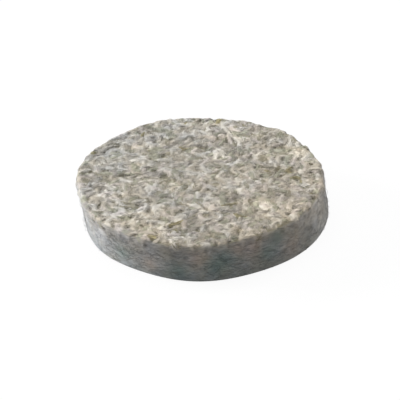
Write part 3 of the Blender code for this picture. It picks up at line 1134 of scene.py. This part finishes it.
# %% Fibres of the cut wall
WALL_FIBRES = 5500
WALL_FIBRE_TILT = 0.28    # spread of the tilts, in radians
WALL_FIBRE_LENGTH = (0.6 * MM, 2.4 * MM)
WALL_FIBRE_SWAY = 0.2 * MM
WALL_FIBRE_THICKNESS = 0.048 * MM
WALL_FIBRE_SIZES = (0.6, 1.4)
WALL_FIBRE_RISE = (-0.003 * MM, 0.012 * MM)
WALL_FIBRE_DIVE = 0.05 * MM
WALL_FLATNESS = 0.25
WALL_WOOL = ("afaea9", "a6abaa", "afa69d", "a9aca5", "b8b5af", "9fa0a0")
WALL_WOOL_SHARES = (0.26, 0.18, 0.14, 0.16, 0.14, 0.12)

fibre_length = draw.uniform(*WALL_FIBRE_LENGTH, WALL_FIBRES)
fibre_tilt = draw.normal(0, WALL_FIBRE_TILT, WALL_FIBRES)
fibre_sway = draw.uniform(0, WALL_FIBRE_SWAY, WALL_FIBRES)
fibre_x, fibre_y = wall_lines(WALL_FIBRES, fibre_length, fibre_tilt, fibre_sway)
fibre_lift = wall_lift(fibre_x, fibre_y) + draw.uniform(*WALL_FIBRE_RISE, (WALL_FIBRES, 1))
fibre_lift = fibre_lift - WALL_FIBRE_DIVE * TO_END**4
fibre_path, fibre_normal = on_pad(fibre_x, fibre_y, fibre_lift)
wall_wool = np.array([linear(code) for code in WALL_WOOL])
fibre_colours = wall_wool[draw.choice(len(WALL_WOOL), WALL_FIBRES, p=WALL_WOOL_SHARES)]
fibre_colours = fibre_colours * wall_wool_and_painted_light(fibre_path[:, STRAND_MIDDLE])
pieces.append(make_strands(
    "wall_fibres", fibre_path, fibre_normal,
    WALL_FIBRE_THICKNESS * draw.uniform(*WALL_FIBRE_SIZES, WALL_FIBRES), WALL_FLATNESS,
    fibre_colours, {"wall": np.ones(WALL_FIBRES)}))

# %% [markdown]
# A few single hairs stand off the rim and the wall, bowed, with both ends in the felt and in the
# wall's colours. They are hardly seen, but they soften the outline, which would otherwise look
# moulded.

# %% Stray hairs
HAIRS = 420
HAIR_LENGTH = (0.5 * MM, 1.6 * MM)
HAIR_SWAY = 0.25 * MM
HAIR_THICKNESS = 0.028 * MM
HAIR_SIZES = (0.7, 1.2)
HAIR_STAND = 0.30 * MM
HAIR_STANDS = (0.2, 1)    # spread, as shares of the highest
HAIR_SINK = 0.05 * MM
HAIR_FLATNESS = 1.0

hair_length = draw.uniform(*HAIR_LENGTH, HAIRS)
hair_tilt = draw.uniform(0, np.pi, HAIRS)
hair_sway = draw.uniform(0, HAIR_SWAY, HAIRS)
hair_x, hair_y = wall_lines(HAIRS, hair_length, hair_tilt, hair_sway)
hair_bow = draw.uniform(*HAIR_STANDS, (HAIRS, 1)) * HAIR_STAND
hair_lift = hair_bow * (1 - TO_END**2) - HAIR_SINK
hair_path, hair_normal = on_pad(hair_x, hair_y, hair_lift)
hair_colours = wall_wool[draw.choice(len(WALL_WOOL), HAIRS)]
hair_colours = hair_colours * wall_wool_and_painted_light(hair_path[:, STRAND_MIDDLE])
pieces.append(make_strands(
    "stray_hairs", hair_path, hair_normal, HAIR_THICKNESS * draw.uniform(*HAIR_SIZES, HAIRS),
    HAIR_FLATNESS, hair_colours, {"wall": np.ones(HAIRS)}))

# %% [markdown]
# One material serves all of it, because it is all one felt. The wool's colour comes with each point,
# and tones multiply it. On the wall it turns from a warm grey at the top to a cooler, darker one at
# the foot: painted shade near the floor. The hollows are painted darker, as painted shade. On Object
# coordinates one slow drift goes across the pad, a painted cast of the light, from cooler at the rear
# left, on the lamps' side, to warmer at the front right, and broad soft patches lean cooler or
# warmer. A fine speckle changes the lightness.
#
# Wool lets light through, so the dark side of a fibre is never as dark as a solid one's. Most of each
# normal is therefore the way that the felt itself faces, and only the rest is the strand's own.

# %% Short ways to write nodes


class Nodes:
    """Short ways to add and join nodes of one tree."""

    def __init__(self, tree):
        self.tree = tree

    def add(self, kind, **settings):
        """A node of this kind with its settings."""
        node = self.tree.nodes.new(f"ShaderNode{kind}")
        for key, value in settings.items():
            setattr(node, key, value)
        return node

    def join(self, source, target):
        """A link from an output to an input."""
        self.tree.links.new(source, target)

    def attribute(self, name, output):
        """What each point carries under this name."""
        return self.add("Attribute", attribute_name=name).outputs[output]

    def noise(self, size, detail=2.0):
        """A noise on Object coordinates whose features are about this large."""
        noise = self.add("TexNoise")
        noise.inputs["Scale"].default_value = 1 / size
        noise.inputs["Detail"].default_value = detail
        self.join(self.add("TexCoord").outputs["Object"], noise.inputs["Vector"])
        return noise.outputs["Fac"]

    def mix(self, blend, factor, first, second):
        """The mix of two colours, each a socket or a plain colour, by a socket or a number. A Mix
        node's colours are its sockets 6 and 7."""
        node = self.add("Mix", data_type="RGBA", blend_type=blend)
        for number, value in ((0, factor), (6, first), (7, second)):
            plain_colour = isinstance(value, tuple)
            feed(self.tree, (*value, 1) if plain_colour else value, node.inputs[number])
        return node.outputs[2]

    def spread(self, source, low_out, high_out, low_in=0.3, high_in=0.7):
        """A number carried evenly from one range to another, and held at its ends."""
        node = self.add("MapRange")
        for socket, value in zip(list(node.inputs)[1:5], (low_in, high_in, low_out, high_out)):
            socket.default_value = value
        self.join(source, node.inputs[0])
        return node.outputs[0]


# %% The felt's colour
# Painted shade on the wall: warm at the top, cooler and darker towards the foot, by the floor.
WALL_SHADE_TOP_TONE = (1.00, 0.955, 0.96)
WALL_SHADE_FOOT_TONE = (0.775, 0.805, 0.855)
FOOT_SHADE_TOP = 0.4 * MM
# Painted shade for the hollows of the nap.
HOLLOW_SHADE_TONE = (0.86, 0.85, 0.775)
# A painted cast of the light: cooler on the rear-left side, where the lamps are, and warmer on the
# front right.
LIGHT_CAST_HEADING = math.radians(-38)
LIGHT_CAST_WARM_TONE = (1.035, 0.995, 0.93)
LIGHT_CAST_COOL_TONE = (0.988, 1.016, 1.05)
PATCH_SIZE = 2.0 * MM
PATCH_COOL = (0.955, 0.985, 1.03)
PATCH_WARM = (1.045, 1.015, 0.935)
SPECKLE_SIZE = 0.30 * MM
SPECKLE_DETAIL = 3.0
SPECKLE_TONES = (0.96, 1.04)


def felt_colour(nodes):
    """The tint of each point times the tones of the wall's painted shade, the hollows' painted shade,
    the drift that is a painted cast of the light, the patches and the speckle."""
    place = nodes.add("TexCoord").outputs["Object"]
    split = nodes.add("SeparateXYZ")
    nodes.join(place, split.inputs[0])
    height = nodes.spread(split.outputs[2], 0, 1, FOOT_SHADE_TOP, EDGE_TOP)
    across = nodes.add("VectorMath", operation="DOT_PRODUCT")
    across.inputs[1].default_value = (math.cos(LIGHT_CAST_HEADING), math.sin(LIGHT_CAST_HEADING), 0)
    nodes.join(place, across.inputs[0])
    light_cast = nodes.spread(across.outputs["Value"], 0, 1, -RADIUS, RADIUS)
    patches = nodes.spread(nodes.noise(PATCH_SIZE), 0, 1)
    # Of the tones below, the wall's and the hollows' are painted shade, and the drift is a painted cast
    # of the light.
    colour = nodes.attribute("tint", "Color")
    for share, tone in (
            (nodes.attribute("wall", "Fac"), nodes.mix("MIX", height, WALL_SHADE_FOOT_TONE, WALL_SHADE_TOP_TONE)),
            (nodes.attribute("hollow_shade", "Fac"), HOLLOW_SHADE_TONE),
            (1.0, nodes.mix("MIX", light_cast, LIGHT_CAST_COOL_TONE, LIGHT_CAST_WARM_TONE)),
            (1.0, nodes.mix("MIX", patches, PATCH_COOL, PATCH_WARM))):
        colour = nodes.mix("MULTIPLY", share, colour, tone)
    speckle = nodes.spread(nodes.noise(SPECKLE_SIZE, SPECKLE_DETAIL), *SPECKLE_TONES)
    speckled = nodes.add("VectorMath", operation="SCALE")
    nodes.join(colour, speckled.inputs[0])
    nodes.join(speckle, speckled.inputs["Scale"])
    return speckled.outputs[0]


print(f"from {WALL_SHADE_FOOT_TONE} at the wall's foot to {WALL_SHADE_TOP_TONE} at its top")

# %% Its softened shading
SOFT_SHADE = 0.85         # share of the felt's own facing in each normal
GRAIN_BUMP = {"Strength": 0.2, "Distance": 0.03 * MM}


def felt_normal(nodes, grain):
    """The surface's own normal mixed with the felt's facing, at length one, and a fine bump."""
    felt_faces = nodes.add("VectorTransform", vector_type="NORMAL",
                           convert_from="OBJECT", convert_to="WORLD")
    nodes.join(nodes.attribute("facing", "Vector"), felt_faces.inputs[0])
    softer = nodes.add("Mix", data_type="VECTOR")
    softer.inputs["Factor"].default_value = SOFT_SHADE
    nodes.join(nodes.add("NewGeometry").outputs["Normal"], softer.inputs[4])
    nodes.join(felt_faces.outputs[0], softer.inputs[5])
    unit = nodes.add("VectorMath", operation="NORMALIZE")
    nodes.join(softer.outputs[1], unit.inputs[0])
    bump = nodes.add("Bump")
    for socket, value in GRAIN_BUMP.items():
        bump.inputs[socket].default_value = value
    nodes.join(grain, bump.inputs["Height"])
    nodes.join(unit.outputs[0], bump.inputs["Normal"])
    return bump.outputs[0]


print(f"{SOFT_SHADE:.0%} of each normal is the felt's own facing")

# %% The felt's material
GRAIN_SIZE = 0.09 * MM
GRAIN_ROUGHNESS = (0.82, 1.0)
FELT_GLOSS = {"Specular IOR Level": 0.2, "Sheen Weight": 0.28, "Sheen Roughness": 0.6}

felt = bpy.data.materials.new("pressed_felt")
felt.use_nodes = True
felt_nodes = Nodes(felt.node_tree)
felt_shader = felt.node_tree.nodes["Principled BSDF"]
felt_grain = felt_nodes.noise(GRAIN_SIZE)
felt_nodes.join(felt_colour(felt_nodes), felt_shader.inputs["Base Color"])
felt_nodes.join(felt_nodes.spread(felt_grain, *GRAIN_ROUGHNESS), felt_shader.inputs["Roughness"])
felt_nodes.join(felt_normal(felt_nodes, felt_grain), felt_shader.inputs["Normal"])
for socket, value in FELT_GLOSS.items():
    felt_shader.inputs[socket].default_value = value
print(f"{felt.name}: {len(felt.node_tree.nodes)} nodes")

# %% Give the felt to every piece
for piece in pieces:
    piece.data.materials.append(felt)
    if piece is not skin:
        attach(piece, "root")
print(f"{len(pieces)} pieces, {sum(len(piece.data.polygons) for piece in pieces)} triangles in all")
